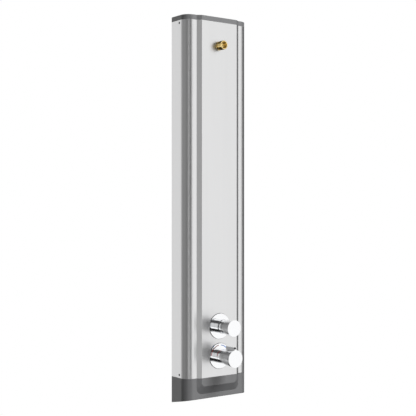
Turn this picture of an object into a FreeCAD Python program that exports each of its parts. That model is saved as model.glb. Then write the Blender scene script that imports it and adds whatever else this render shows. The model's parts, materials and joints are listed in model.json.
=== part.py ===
import FreeCAD, Part
import math
import os

os.makedirs("parts", exist_ok=True)
V = FreeCAD.Vector

# A wall-mounted shower panel. Millimetres. The wall is the plane y = 0, the front
# faces -Y, +Z is up, and the origin lies on the wall, in the middle of the four
# wall fixings.

# ---------------------------------------------------------------- driving dimensions
# Column
overall_height = 900.0
overall_width = 183.0
flank_depth = 60.0
panel_rise = 7.0
panel_width = 103.0
bevel_width = 10.3
corner_radius = 22.0
column_wall = 2.5

# End caps
top_cap_height = 11.7
bottom_cap_height = 50.0
bottom_cap_drop = 12.0
cap_wall = 2.8
cap_floor = 3.0
cap_ledge = 4.0
skirt_thickness = 2.2
skirt_reach = 24.0
skirt_set_back = 4.0
cap_edge_radius = 1.2
panel_end_height = 30.2
panel_end_radius = 10.0
bevel_end_height = 11.6
bevel_end_radius = 15.0

# Wall brackets and their fixings
fixing_inset = 60.0
fixing_spacing = 100.0
fixing_hole_radius = 3.25
bracket_thickness = 2.0
bracket_margin = 10.0
wing_margin = 7.3
side_screw_radius = 2.5
side_screw_length = 12.0
side_screw_socket = 2.5
side_screw_depth = 31.7
top_screw_drop = 18.2
bottom_screw_height = 57.0
rivet_nut_wall = 2.0
rivet_nut_neck_wall = 1.0
rivet_nut_length = 6.0

# Water way
nipple_drop = 67.6
thread_radius = 10.4775
thread_depth = 1.16
nipple_length = 18.0
nipple_shoulder = 2.2
nipple_undercut = 2.0
nipple_chamfer = 0.7
nipple_recess_radius = 8.2
nipple_recess_depth = 10.0
nipple_bore_radius = 5.5
nipple_tail_radius = 8.33
nipple_tail_length = 20.0
limiter_thickness = 2.4
limiter_hole_radius = 1.1
limiter_pitch_radius = 4.4
washer_thickness = 1.5
washer_rim = 5.0
locknut_wall = 2.7
locknut_thickness = 5.0
pipe_radius = 7.5
pipe_wall = 0.9
pipe_axis_depth = 38.0
pipe_insert = 9.0
stub_wall = 3.0
port_step = 1.7
elbow_wall = 5.0
elbow_leg = 30.0
pipe_nut_wall = 4.5
pipe_nut_length = 8.0
clip_thickness = 2.0
clip_height = 12.0
clip_spacing = 300.0

# Controls, shared sizes
rosette_radius = 30.8
rosette_thickness = 1.5
rosette_edge = 1.2
collar_radius = 17.0
collar_length = 14.0
gasket_thickness = 1.0
valve_rear_wall = 3.0
valve_head = 8.0
seal_section = 1.4
seal_groove_width = 2.0
seal_inset = 4.0
stem_radius = 4.0

# Push button and time-flow valve
push_height = 168.5
valve_radius = 20.0
valve_length = 43.0
push_collar_wall = 3.35
valve_neck_wall = 2.6
valve_neck_length = 10.0
timeflow_wall = 2.45
push_travel = 4.0
push_reach = 57.0
push_ring_step = 0.4
push_ring_wall = 2.0
push_ring_length = 6.2
push_groove_width = 1.0
push_groove_depth = 0.9
push_flare = 2.4
push_face_chamfer = 0.6
push_front_wall = 8.0
push_boss_wall = 4.0
push_boss_length = 6.0
guide_wall = 2.35
guide_length = 20.0
collar_lip = 2.35
piston_thickness = 4.0
spring_wire = 1.4
spring_turns = 7

# Temperature knob and thermostatic mixer
controls_spacing = 70.5
mixer_radius = 24.0
mixer_length = 45.0
knob_collar_wall = 2.25
mixer_neck_wall = 2.4
mixer_neck_length = 11.5
mixer_wall = 3.25
knob_reach = 61.5
knob_flare = 3.4
knob_wall = 2.4
knob_web = 3.0
knob_recess = 6.5
knob_boss_wall = 3.5
knob_boss_length = 20.0
knob_cap_thickness = 2.0
fin_width = 5.2
fin_height = 6.2
fin_start = 28.0
nib_height = 2.2
nib_width = 9.0
knob_screw_radius = 1.95
knob_screw_head_radius = 3.8
knob_screw_head_height = 3.2
knob_screw_length = 10.0
stop_ring_thickness = 3.6
stop_lug_height = 2.4
stop_lug_angle = 20.0
stop_clearance = 2.0
cold_turn = 60.0
hot_turn = 90.0
spindle_flange = 2.0
spindle_tail_radius = 2.0
spindle_tail_length = 14.0
shuttle_length = 12.0
shuttle_gap = 6.0
shuttle_waist = 2.0

# Inlets
inlet_height = 290.0
inlet_spacing = 120.0
inlet_thread_depth = 12.0
thread_run_out = 0.2
stopcock_wall = 5.0
stopcock_length = 34.0
stopcock_to_inlet = 24.0
ball_wall = 3.9
ball_bore_radius = 4.6
isolator_stem_radius = 3.5
isolator_boss_wall = 3.0
isolator_boss_reach = 15.0
isolator_slot = 1.2
union_nut_wall = 3.0
union_nut_length = 20.0
union_lip = 3.5
union_relief = 0.6
union_flange_thickness = 2.0
filter_thickness = 2.0
filter_hole_radius = 1.6
filter_pitch_radius = 4.2
check_valve_wall = 2.4
check_valve_length = 12.0
stopcock_neck_wall = 1.35

# Clearances
fit_gap = 0.3
running_gap = 0.06
seat_gap = 0.05
past = 1.0

# ---------------------------------------------------------------- derived places
top_z = overall_height / 2.0
bottom_z = -overall_height / 2.0
column_top_z = top_z - top_cap_height
column_bottom_z = bottom_z + bottom_cap_height
flank_y = -flank_depth
panel_y = flank_y - panel_rise
panel_back_y = panel_y + column_wall
pipe_y = -pipe_axis_depth
nipple_z = top_z - nipple_drop
push_z = bottom_z + push_height
knob_z = push_z - controls_spacing
inlet_z = bottom_z + inlet_height
inlet_x = inlet_spacing / 2.0
stopcock_z = inlet_z - stopcock_to_inlet
fixing_z = top_z - fixing_inset
top_screw_z = top_z - top_screw_drop
bottom_screw_z = bottom_z + bottom_screw_height
bevel_slope = math.atan2(panel_rise, bevel_width)
bevel_half_width = panel_width / 2.0 + bevel_width
flank_width = overall_width / 2.0 - bevel_half_width
outline_corner = min(corner_radius, flank_width * 0.8)
skirt_outset = column_wall + fit_gap
skirt_inset = skirt_outset + skirt_thickness
bracket_inset = skirt_inset + fit_gap
bracket_depth = flank_depth - outline_corner + past
screw_hole_radius = side_screw_radius + fit_gap
rivet_nut_radius = side_screw_radius + rivet_nut_wall
rivet_hole_radius = side_screw_radius + rivet_nut_neck_wall

# Pipes and fittings
port_radius = pipe_radius - port_step
stub_radius = pipe_radius + stub_wall
elbow_radius = pipe_radius + elbow_wall
pipe_nut_flats = 2.0 * (pipe_radius + pipe_nut_wall)
stopcock_radius = pipe_radius + stopcock_wall
ball_radius = ball_bore_radius + ball_wall
check_valve_radius = ball_bore_radius + check_valve_wall
neck_radius = check_valve_radius + stopcock_neck_wall + seat_gap
isolator_boss_radius = isolator_stem_radius + isolator_boss_wall
union_flange_radius = thread_radius - fit_gap
union_nut_flats = 2.0 * (thread_radius + union_nut_wall)
stopcock_foot_z = stopcock_z - stopcock_length / 2.0
filter_front_y = -inlet_thread_depth - thread_run_out
leg_end_y = filter_front_y - filter_thickness

# Reaches in front of the raised panel; what lies behind it is negative
nut_face = -column_wall - washer_thickness
locknut_rear = nut_face - locknut_thickness
valve_front = -column_wall - gasket_thickness
collar_front = rosette_thickness + collar_length

# Push button and time-flow valve
valve_neck_radius = collar_radius - push_collar_wall - seat_gap
timeflow_radius = valve_neck_radius - valve_neck_wall
timeflow_outer = timeflow_radius - seat_gap
timeflow_chamber_radius = timeflow_outer - timeflow_wall
timeflow_groove = timeflow_outer - seal_section
valve_rear = valve_front - valve_length
timeflow_rear = valve_rear + valve_rear_wall + fit_gap
timeflow_front = valve_neck_length - fit_gap
timeflow_head = valve_front - valve_head
timeflow_seal_reaches = (valve_front - seal_inset, timeflow_rear + seal_inset)
push_rear = collar_front + push_travel + fit_gap
push_ring_radius = collar_radius - push_ring_step
push_bore_radius = push_ring_radius - push_ring_wall
push_face_radius = collar_radius + push_flare
push_web = push_reach - push_front_wall
push_boss_radius = stem_radius + push_boss_wall
push_boss_rear = push_web - push_boss_length
push_stem_front = push_web + push_front_wall / 2.0
guide_radius = push_bore_radius - running_gap
guide_bore = guide_radius - guide_wall
collar_lip_rear = valve_neck_length + fit_gap
collar_lip_front = collar_lip_rear + collar_lip
collar_lip_radius = stem_radius + spring_wire

# Temperature knob and thermostatic mixer
mixer_neck_radius = collar_radius - knob_collar_wall - seat_gap
mixer_bore_radius = mixer_neck_radius - mixer_neck_wall
mixer_outer = mixer_bore_radius - seat_gap
mixer_chamber_radius = mixer_outer - mixer_wall
mixer_groove = mixer_outer - seal_section
mixer_rear = valve_front - mixer_length
thermostat_rear = mixer_rear + valve_rear_wall + fit_gap
thermostat_front = mixer_neck_length - fit_gap
thermostat_head = valve_front - valve_head
mixer_seal_reaches = (
    valve_front - seal_inset,
    panel_y - pipe_y + port_radius + seal_section * 1.5,
    thermostat_rear + seal_inset,
)
knob_rear = collar_front + fit_gap
knob_front = knob_reach - knob_cap_thickness
knob_face_radius = collar_radius + knob_flare
knob_web_front = knob_front - knob_recess
knob_web_rear = knob_web_front - knob_web
knob_boss_rear = knob_web_rear - knob_boss_length
knob_boss_radius = stem_radius + knob_boss_wall
knob_cup_radius = collar_radius - knob_wall
fin_radius = knob_face_radius + fin_height
nib_radius = knob_face_radius + nib_height
spindle_front = knob_web_rear - seat_gap
spindle_flange_front = thermostat_head - fit_gap
spindle_flange_rear = spindle_flange_front - spindle_flange
shuttle_front = spindle_flange_front - shuttle_gap
stop_ring_radius = knob_cup_radius - fit_gap * 2.0 - stop_lug_height
stop_lug_inner = stop_ring_radius + fit_gap
stop_ring_front = collar_front + stop_ring_thickness

# Stubs and nuts share the room between the fittings that they join
link_room = controls_spacing - mixer_radius - valve_radius
link_stub = link_room * 0.3
link_nut_length = (link_room - 2.0 * link_stub - fit_gap) / 2.0
link_low_z = knob_z + mixer_radius + link_stub
link_high_z = push_z - valve_radius - link_stub
side_room = inlet_x - mixer_radius
inlet_bend_radius = side_room / 2.0
side_nut_length = min(pipe_nut_length, side_room / 4.0)
side_stub_x = inlet_x - inlet_bend_radius - side_nut_length - fit_gap
riser_low_z = push_z + valve_radius + pipe_nut_length
riser_high_z = nipple_z - elbow_leg


# ---------------------------------------------------------------- solids
def polygon_face(points):
    """A flat face through the points."""
    return Part.Face(Part.makePolygon(list(points) + [points[0]]))


def block(x_low, x_high, y_low, y_high, z_low, z_high):
    return Part.makeBox(x_high - x_low, y_high - y_low, z_high - z_low, V(x_low, y_low, z_low))


def rod(radius, start, end):
    """A round bar between two points."""
    way = end - start
    return Part.makeCylinder(radius, way.Length, start, way)


def pipe_length(outer, inner, start, end):
    """A straight tube between two points."""
    way = (end - start).normalize()
    return rod(outer, start, end).cut(rod(inner, start - way * past, end + way * past))


def turned(profile, x, z):
    """A solid of revolution about the line along Y through x, z.

    The profile's points are a radius and a reach in front of the raised panel.
    """
    points = [V(x + radius, panel_y - reach, z) for radius, reach in profile]
    return polygon_face(points).revolve(V(x, 0, z), V(0, 1, 0), 360)


def ring(outer, inner, rear, front, x, z):
    """A turned ring between two reaches in front of the raised panel."""
    return turned([(inner, rear), (outer, rear), (outer, front), (inner, front)], x, z)


def disc(radius, rear, front, x, z):
    return rod(radius, V(x, panel_y - rear, z), V(x, panel_y - front, z))


def hexagon(flats, start, end):
    """A hexagonal bar between two points, with two corners level with its axis."""
    way = end - start
    corner = flats / math.sqrt(3.0)
    side = V(0, 0, 1) if abs(way.z) < abs(way.x) + abs(way.y) else V(1, 0, 0)
    points = []
    for step in range(6):
        turn = FreeCAD.Rotation(way, 60.0 * step)
        points.append(start + turn.multVec(side) * corner)
    return polygon_face(points).extrude(way)


def o_ring(groove_radius, reach, x, z):
    """A seal that lies in a groove of this radius, a little clear of it."""
    section = seal_section / 2.0
    centre = V(x, panel_y - reach, z)
    return Part.makeTorus(groove_radius + section, section - seat_gap, centre, V(0, 1, 0))


def group(solids):
    return Part.makeCompound(solids)


def save(node, shape):
    """Writes one piece, after a test that each of its solids is closed and valid."""
    solids = shape.Solids
    if not solids or not shape.isValid():
        raise ValueError(node + " is not a valid solid")
    for solid in solids:
        if not solid.isClosed() or solid.Volume <= 0:
            raise ValueError(node + " is not closed")
    whole = solids[0] if len(solids) == 1 else group(solids)
    whole.exportStep("parts/" + node + ".step")
    print("%-24s %d solid(s) %12.1f mm3" % (node, len(solids), whole.Volume))


# ---------------------------------------------------------------- column and caps
def outline_edges(inset, back, raised):
    """The column's closed outline, moved inwards by inset, as edges at z = 0."""
    side = overall_width / 2.0 - inset
    centre = overall_width / 2.0 - outline_corner
    bend = outline_corner - inset
    step = inset * math.tan(bevel_slope / 2.0)
    half = math.sqrt(0.5)
    left = [V(-side, back, 0), V(-side, flank_y + outline_corner, 0), V(-centre, flank_y + inset, 0)]
    middle = V(-centre - bend * half, flank_y + outline_corner - bend * half, 0)
    bevel = []
    if raised:
        bevel = [
            V(-bevel_half_width + step, flank_y + inset, 0),
            V(-panel_width / 2.0 + step, panel_y + inset, 0),
        ]

    def mirrored(point):
        return V(-point.x, point.y, point.z)

    front = [left[2]] + bevel + [mirrored(p) for p in reversed(bevel)] + [mirrored(left[2])]
    edges = [Part.LineSegment(left[0], left[1]).toShape()]
    edges.append(Part.Arc(left[1], middle, left[2]).toShape())
    for start, end in zip(front, front[1:]):
        edges.append(Part.LineSegment(start, end).toShape())
    edges.append(Part.Arc(front[-1], mirrored(middle), mirrored(left[1])).toShape())
    edges.append(Part.LineSegment(mirrored(left[1]), mirrored(left[0])).toShape())
    edges.append(Part.LineSegment(mirrored(left[0]), left[0]).toShape())
    return edges


def outline_bar(inset, back, z_low, z_high, raised=True):
    """A bar of the column's outline between two heights."""
    face = Part.Face(Part.Wire(outline_edges(inset, back, raised)))
    face.translate(V(0, 0, z_low))
    return face.extrude(V(0, 0, z_high - z_low))


def side_holes(radius, z):
    """A bar across the column where its side screws go."""
    reach = overall_width / 2.0 + past
    return rod(radius, V(-reach, -side_screw_depth, z), V(reach, -side_screw_depth, z))


def front_hole(radius, z):
    return rod(radius, V(0, panel_y - past, z), V(0, panel_back_y + past, z))


def column_profile():
    shape = outline_bar(0.0, 0.0, column_bottom_z, column_top_z)
    hollow = outline_bar(column_wall, past, column_bottom_z - past, column_top_z + past)
    shape = shape.cut(hollow)
    shape = shape.cut(front_hole(nipple_tail_radius + fit_gap, nipple_z))
    shape = shape.cut(front_hole(valve_neck_radius + fit_gap, push_z))
    shape = shape.cut(front_hole(mixer_neck_radius + fit_gap, knob_z))
    for z in (top_screw_z, bottom_screw_z):
        shape = shape.cut(side_holes(screw_hole_radius, z))
    return shape


def skirt(z_low, z_high):
    """The wall of a cap that plugs into the column on three sides."""
    outer = outline_bar(skirt_outset, -skirt_set_back, z_low, z_high)
    return outer.cut(outline_bar(skirt_inset, past, z_low - past, z_high + past))


def edges_at(shape, z_of, tolerance=0.01):
    """The edges of the outside that lie on a surface z = z_of(y), off the wall."""
    found = []
    for edge in shape.Edges:
        points = [edge.valueAt(p) for p in edge.ParameterRange]
        points.append(edge.valueAt(sum(edge.ParameterRange) / 2.0))
        on_surface = all(abs(p.z - z_of(p.y)) < tolerance for p in points)
        at_wall = all(abs(p.y) < tolerance for p in points)
        if on_surface and not at_wall:
            found.append(edge)
    return found


def top_cap():
    shape = outline_bar(0.0, 0.0, column_top_z, top_z)
    edge = min(cap_edge_radius, top_cap_height / 3.0)
    shape = shape.makeFillet(edge, edges_at(shape, lambda y: top_z))
    hollow = outline_bar(skirt_inset, -cap_wall, column_top_z - past, top_z - cap_floor)
    shape = shape.cut(hollow)
    plug = skirt(column_top_z - skirt_reach, column_top_z)
    return shape.fuse(plug).removeSplitter().cut(side_holes(screw_hole_radius, top_screw_z))


def end_outline(half_width, low_z, radius, y):
    """A wire around the end of the raised panel: square at the column, round below."""
    half = math.sqrt(0.5)
    top = column_bottom_z
    right = [V(half_width, y, top), V(half_width, y, low_z + radius)]
    middle = V(half_width - radius + radius * half, y, low_z + radius - radius * half)
    foot = V(half_width - radius, y, low_z)

    def mirrored(point):
        return V(-point.x, point.y, point.z)

    edges = [
        Part.LineSegment(mirrored(right[0]), right[0]).toShape(),
        Part.LineSegment(right[0], right[1]).toShape(),
        Part.Arc(right[1], middle, foot).toShape(),
        Part.LineSegment(foot, mirrored(foot)).toShape(),
        Part.Arc(mirrored(foot), mirrored(middle), mirrored(right[1])).toShape(),
        Part.LineSegment(mirrored(right[1]), mirrored(right[0])).toShape(),
    ]
    return Part.Wire(edges)


def panel_end(inset, depth):
    """The raised panel's bevelled end, smaller all round by inset and set back by depth."""
    outer = end_outline(
        bevel_half_width - inset, bottom_z + bevel_end_height + inset, bevel_end_radius, flank_y + depth
    )
    inner = end_outline(
        panel_width / 2.0 - inset, bottom_z + panel_end_height + inset, panel_end_radius, panel_y + depth
    )
    return Part.makeLoft([outer, inner], True, True)


def under_slope(lift):
    """All that lies under the bottom cap's sloping base, raised by lift."""
    reach = overall_width
    front = flank_y - panel_rise - past
    slope = bottom_cap_drop / flank_depth

    def base_z(y):
        return bottom_z + lift - slope * (y - flank_y)

    points = [
        V(-reach, front, base_z(front)),
        V(-reach, past * 2.0, base_z(past * 2.0)),
        V(-reach, past * 2.0, bottom_z - overall_width),
        V(-reach, front, bottom_z - overall_width),
    ]
    return polygon_face(points).extrude(V(2.0 * reach, 0, 0))


def bottom_cap():
    lowest = bottom_z - bottom_cap_drop - past
    ledge_z = column_bottom_z - min(cap_ledge, bottom_cap_height / 3.0)
    slope = bottom_cap_drop / flank_depth
    shape = outline_bar(0.0, 0.0, lowest, column_bottom_z, raised=False)
    shape = shape.cut(under_slope(0.0))
    edge = min(cap_edge_radius, bevel_end_height / 3.0)
    base = edges_at(shape, lambda y: bottom_z - slope * (y - flank_y))
    shape = shape.makeFillet(edge, base)
    shape = shape.fuse(panel_end(0.0, 0.0)).removeSplitter()
    hollow = outline_bar(cap_wall, past, lowest, ledge_z, raised=False).cut(under_slope(cap_floor))
    behind_end = panel_end(cap_wall, cap_wall)
    behind_end = behind_end.cut(block(-overall_width, overall_width, panel_y, 0, ledge_z, top_z))
    shape = shape.cut(hollow).cut(behind_end)
    shape = shape.cut(outline_bar(skirt_inset, past, ledge_z - past, column_bottom_z + past))
    plug = skirt(column_bottom_z, column_bottom_z + skirt_reach)
    shape = shape.fuse(plug).removeSplitter()
    return shape.cut(side_holes(screw_hole_radius, bottom_screw_z))


# ---------------------------------------------------------------- brackets and screws
def wall_bracket(screw_z):
    """A folded plate on the wall whose two wings take the side screws."""
    side = 1.0 if screw_z > 0 else -1.0
    hole_z = side * fixing_z
    edge = overall_width / 2.0 - bracket_inset
    low = min(screw_z, hole_z) - bracket_margin
    high = max(screw_z, hole_z) + bracket_margin
    if side > 0:
        high = min(high, column_top_z - fit_gap)
    else:
        low = max(low, column_bottom_z + fit_gap)
    shape = block(-edge, edge, -bracket_thickness, 0, low, high)
    wing_low = max(low, screw_z - wing_margin)
    wing_high = min(high, screw_z + wing_margin)
    for x in (-edge, edge - bracket_thickness):
        shape = shape.fuse(block(x, x + bracket_thickness, -bracket_depth, 0, wing_low, wing_high))
    shape = shape.removeSplitter()
    for x in (-fixing_spacing / 2.0, fixing_spacing / 2.0):
        hole = rod(fixing_hole_radius, V(x, past, hole_z), V(x, -bracket_thickness - past, hole_z))
        shape = shape.cut(hole)
    return shape.cut(side_holes(rivet_hole_radius, screw_z))


def at_each_side_screw(make):
    """One solid at each of the four side screws, made for the left and mirrored."""
    solids = []
    for z in (top_screw_z, bottom_screw_z):
        left = make(z)
        solids.append(left)
        solids.append(left.mirror(V(0, 0, 0), V(1, 0, 0)))
    return group(solids)


def side_screw(z):
    """A grub screw just under the column's side, with a hexagonal socket."""
    start = V(-overall_width / 2.0 + fit_gap, -side_screw_depth, z)
    end = start + V(side_screw_length, 0, 0)
    socket = hexagon(side_screw_socket, start - V(past, 0, 0), start + V(side_screw_length / 3.0, 0, 0))
    return rod(side_screw_radius, start, end).cut(socket)


def rivet_nut(z):
    """A threaded insert set in the bracket's wing."""
    inner_face = -overall_width / 2.0 + bracket_inset + bracket_thickness
    start = V(inner_face, -side_screw_depth, z)
    end = start + V(rivet_nut_length, 0, 0)
    neck_start = start - V(bracket_thickness, 0, 0)
    shape = rod(rivet_nut_radius, start, end)
    shape = shape.fuse(rod(rivet_hole_radius - seat_gap, neck_start, start))
    return shape.cut(rod(side_screw_radius + seat_gap, neck_start - V(past, 0, 0), end + V(past, 0, 0)))


# ---------------------------------------------------------------- shower outlet
def shower_nipple():
    """The brass outlet: a threaded end with a recess, a shoulder, and a tail behind."""
    neck = nipple_shoulder + nipple_undercut
    floor = nipple_length - nipple_recess_depth
    profile = [
        (nipple_bore_radius, -nipple_tail_length),
        (nipple_tail_radius, -nipple_tail_length),
        (nipple_tail_radius, 0.0),
        (thread_radius, 0.0),
        (thread_radius, nipple_shoulder),
        (thread_radius - thread_depth, nipple_shoulder),
        (thread_radius - thread_depth, neck),
        (thread_radius, neck),
        (thread_radius, nipple_length - nipple_chamfer),
        (thread_radius - nipple_chamfer, nipple_length),
        (nipple_recess_radius + nipple_chamfer, nipple_length),
        (nipple_recess_radius, nipple_length - nipple_chamfer),
        (nipple_recess_radius, floor),
        (nipple_bore_radius, floor),
    ]
    return turned(profile, 0.0, nipple_z)


def spaced_around(count, radius, z):
    """Points evenly spaced on a circle about the line along Y at x = 0."""
    places = []
    for step in range(count):
        angle = 2.0 * math.pi * step / count
        places.append(V(radius * math.cos(angle), 0, z + radius * math.sin(angle)))
    return places


def flow_limiter():
    """A disc with seven small holes on the floor of the nipple's recess."""
    rear = nipple_length - nipple_recess_depth
    front = rear + limiter_thickness
    shape = disc(nipple_recess_radius - seat_gap, rear, front, 0.0, nipple_z)
    for place in [V(0, 0, nipple_z)] + spaced_around(6, limiter_pitch_radius, nipple_z):
        hole = disc(limiter_hole_radius, rear - past, front + past, place.x, place.z)
        shape = shape.cut(hole)
    return shape


def nipple_washer():
    bore = nipple_tail_radius + fit_gap
    return ring(bore + washer_rim, bore, nut_face, -column_wall, 0.0, nipple_z)


def nipple_locknut():
    start = V(0, panel_y - locknut_rear, nipple_z)
    end = start - V(0, locknut_thickness, 0)
    bore = disc(nipple_tail_radius + seat_gap, locknut_rear - past, 0.0, 0.0, nipple_z)
    return hexagon(2.0 * (nipple_tail_radius + locknut_wall), start, end).cut(bore)


def outlet_elbow():
    """A socket around the nipple's tail, and a leg down to the riser."""
    mouth = V(0, panel_y - locknut_rear + fit_gap, nipple_z)
    tail = V(0, panel_y + nipple_tail_length + fit_gap, nipple_z)
    corner = V(0, pipe_y, nipple_z)
    foot = V(0, pipe_y, nipple_z - elbow_leg)
    shape = rod(elbow_radius, mouth, corner).fuse(rod(elbow_radius, foot, corner))
    shape = shape.fuse(Part.makeSphere(elbow_radius, corner)).removeSplitter()
    shape = shape.cut(rod(nipple_tail_radius + seat_gap, mouth - V(0, past, 0), tail))
    shape = shape.cut(rod(port_radius, mouth, corner)).cut(rod(port_radius, foot, corner))
    shape = shape.cut(Part.makeSphere(port_radius, corner))
    return shape.cut(rod(pipe_radius + seat_gap, foot - V(0, 0, past), foot + V(0, 0, pipe_insert)))


def riser_pipe():
    start = V(0, pipe_y, riser_low_z - pipe_insert + fit_gap)
    end = V(0, pipe_y, riser_high_z + pipe_insert - fit_gap)
    return pipe_length(pipe_radius, pipe_radius - pipe_wall, start, end)


def pipe_nut(start, way, length=pipe_nut_length):
    """A compression nut on a pipe, from start along way."""
    end = start + way * length
    bore = rod(pipe_radius + seat_gap, start - way * past, end + way * past)
    return hexagon(pipe_nut_flats, start, end).cut(bore)


def riser_nuts():
    low = pipe_nut(V(0, pipe_y, riser_low_z), V(0, 0, 1))
    high = pipe_nut(V(0, pipe_y, riser_high_z), V(0, 0, -1))
    return group([low, high])


def riser_clip(z):
    """A clip from the raised panel's inner face around the riser."""
    centre_low = V(0, pipe_y, z - clip_height / 2.0)
    centre_high = V(0, pipe_y, z + clip_height / 2.0)
    shape = rod(pipe_radius + clip_thickness, centre_low, centre_high)
    half = clip_thickness * 1.5
    foot = pipe_radius + clip_thickness
    shape = shape.fuse(block(-half, half, panel_back_y, pipe_y, centre_low.z, centre_high.z))
    shape = shape.fuse(
        block(-foot, foot, panel_back_y, panel_back_y + clip_thickness, centre_low.z, centre_high.z)
    )
    bore = rod(pipe_radius + seat_gap, centre_low - V(0, 0, past), centre_high + V(0, 0, past))
    return shape.removeSplitter().cut(bore)


def riser_clips():
    middle = (riser_low_z + riser_high_z) / 2.0
    spread = min(clip_spacing, (riser_high_z - riser_low_z) / 2.0) / 2.0
    return group([riser_clip(middle - spread), riser_clip(middle + spread)])


# ---------------------------------------------------------------- push control
def stub(radius, start, end, bore):
    """A boss with the hole that takes a pipe, as a pair of bars to add and to cut."""
    way = (end - start).normalize()
    inside = end - way * pipe_insert
    hole = rod(bore, start, end).fuse(rod(pipe_radius + seat_gap, inside, end + way * past))
    return rod(radius, start, end), hole


def valve_body():
    """The brass body of the time-flow valve, with its ports below and above."""
    centre = V(0, pipe_y, push_z)
    high = V(0, pipe_y, riser_low_z)
    low = V(0, pipe_y, link_high_z)
    shape = disc(valve_radius, valve_rear, valve_front, 0.0, push_z)
    shape = shape.fuse(disc(valve_neck_radius, valve_front, valve_neck_length, 0.0, push_z))
    top_boss, top_hole = stub(stub_radius, centre, high, port_radius)
    low_boss, low_hole = stub(stub_radius, centre, low, port_radius)
    shape = shape.fuse(top_boss).fuse(low_boss).removeSplitter()
    bore = disc(timeflow_radius, valve_rear + valve_rear_wall, valve_neck_length + past, 0.0, push_z)
    return shape.cut(bore).cut(top_hole).cut(low_hole)


def timeflow_cartridge():
    """The cartridge that meters the flow, with a groove for each of its two seals."""
    shape = disc(timeflow_outer, timeflow_rear, timeflow_front, 0.0, push_z)
    for reach in timeflow_seal_reaches:
        rear = reach - seal_groove_width / 2.0
        shape = shape.cut(
            ring(timeflow_radius, timeflow_groove, rear, rear + seal_groove_width, 0.0, push_z)
        )
    chamber_rear = timeflow_rear + valve_rear_wall
    shape = shape.cut(disc(timeflow_chamber_radius, chamber_rear, timeflow_head, 0.0, push_z))
    return shape.cut(disc(stem_radius + running_gap, timeflow_head, timeflow_front + past, 0.0, push_z))


def timeflow_seals():
    return group([o_ring(timeflow_groove, reach, 0.0, push_z) for reach in timeflow_seal_reaches])


def front_gasket(body_radius, neck_radius, z):
    return ring(body_radius, neck_radius + fit_gap, valve_front, -column_wall, 0.0, z)


def rosette(neck_radius, z):
    """The round cover plate behind a control, with a rounded edge."""
    shape = ring(rosette_radius, neck_radius + fit_gap, 0.0, rosette_thickness, 0.0, z)
    edge = min(rosette_edge, rosette_thickness * 0.8)
    front_y = panel_y - rosette_thickness
    rim = [
        e
        for e in shape.Edges
        if abs(e.CenterOfMass.y - front_y) < 0.01 and e.Length > math.pi * rosette_radius
    ]
    return shape.makeFillet(edge, rim)


def push_collar():
    """The fixed collar on the valve's neck, with the sleeve that guides the button."""
    profile = [
        (valve_neck_radius + seat_gap, rosette_thickness),
        (collar_radius, rosette_thickness),
        (collar_radius, collar_front),
        (guide_radius, collar_front),
        (guide_radius, collar_front + guide_length),
        (guide_bore, collar_front + guide_length),
        (guide_bore, collar_lip_front),
        (collar_lip_radius, collar_lip_front),
        (collar_lip_radius, collar_lip_rear),
        (valve_neck_radius + seat_gap, collar_lip_rear),
    ]
    return turned(profile, 0.0, push_z)


def push_button():
    """The moving head: a guide ring, a groove, and a cup that widens to its face."""
    groove_start = push_rear + push_ring_length
    groove_end = groove_start + push_groove_width
    profile = [
        (push_bore_radius, push_rear),
        (push_ring_radius, push_rear),
        (push_ring_radius, groove_start),
        (push_ring_radius - push_groove_depth, groove_start + push_groove_width / 2.0),
        (collar_radius, groove_end),
        (push_face_radius, push_reach - push_face_chamfer),
        (push_face_radius - push_face_chamfer, push_reach),
        (0.0, push_reach),
        (0.0, push_stem_front),
        (stem_radius + seat_gap, push_stem_front),
        (stem_radius + seat_gap, push_boss_rear),
        (push_boss_radius, push_boss_rear),
        (push_boss_radius, push_web),
        (push_bore_radius, push_web),
    ]
    return turned(profile, 0.0, push_z)


def push_stem():
    """The stem from the button to the piston in the cartridge's chamber."""
    piston_front = timeflow_head - fit_gap
    shape = disc(
        stem_radius, piston_front - piston_thickness, push_stem_front - seat_gap, 0.0, push_z
    )
    piston_radius = timeflow_chamber_radius - running_gap
    piston = disc(piston_radius, piston_front - piston_thickness, piston_front, 0.0, push_z)
    return shape.fuse(piston).removeSplitter()


def return_spring():
    """A coil between the collar's lip and the button, wound about the stem."""
    radius = (push_boss_radius + spring_wire + guide_bore) / 2.0
    start = collar_lip_front + spring_wire / 2.0 + seat_gap
    length = push_web - seat_gap - spring_wire / 2.0 - start
    pitch = length / spring_turns

    def point(turns):
        angle = 2.0 * math.pi * turns
        y = panel_y - start - pitch * turns
        return V(radius * math.cos(angle), y, push_z + radius * math.sin(angle))

    edges = []
    for quarter in range(4 * spring_turns):
        begin = quarter / 4.0
        arc = Part.Arc(point(begin), point(begin + 0.125), point(begin + 0.25))
        edges.append(arc.toShape())
    route = Part.Wire(edges)
    section = Part.Wire(Part.makeCircle(spring_wire / 2.0, point(0), edges[0].tangentAt(0)))
    return route.makePipeShell([section], True, False)


# ---------------------------------------------------------------- temperature control
def mixer_body():
    """The brass body of the thermostatic mixer: two inlets beside it, an outlet above."""
    centre = V(0, pipe_y, knob_z)
    shape = disc(mixer_radius, mixer_rear, valve_front, 0.0, knob_z)
    shape = shape.fuse(disc(mixer_neck_radius, valve_front, mixer_neck_length, 0.0, knob_z))
    ends = [V(side_stub_x, pipe_y, knob_z), V(-side_stub_x, pipe_y, knob_z), V(0, pipe_y, link_low_z)]
    holes = []
    for end in ends:
        boss, hole = stub(stub_radius, centre, end, port_radius)
        shape = shape.fuse(boss)
        holes.append(hole)
    shape = shape.removeSplitter()
    bore = disc(mixer_bore_radius, mixer_rear + valve_rear_wall, mixer_neck_length + past, 0.0, knob_z)
    shape = shape.cut(bore)
    for hole in holes:
        shape = shape.cut(hole)
    return shape


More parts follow.
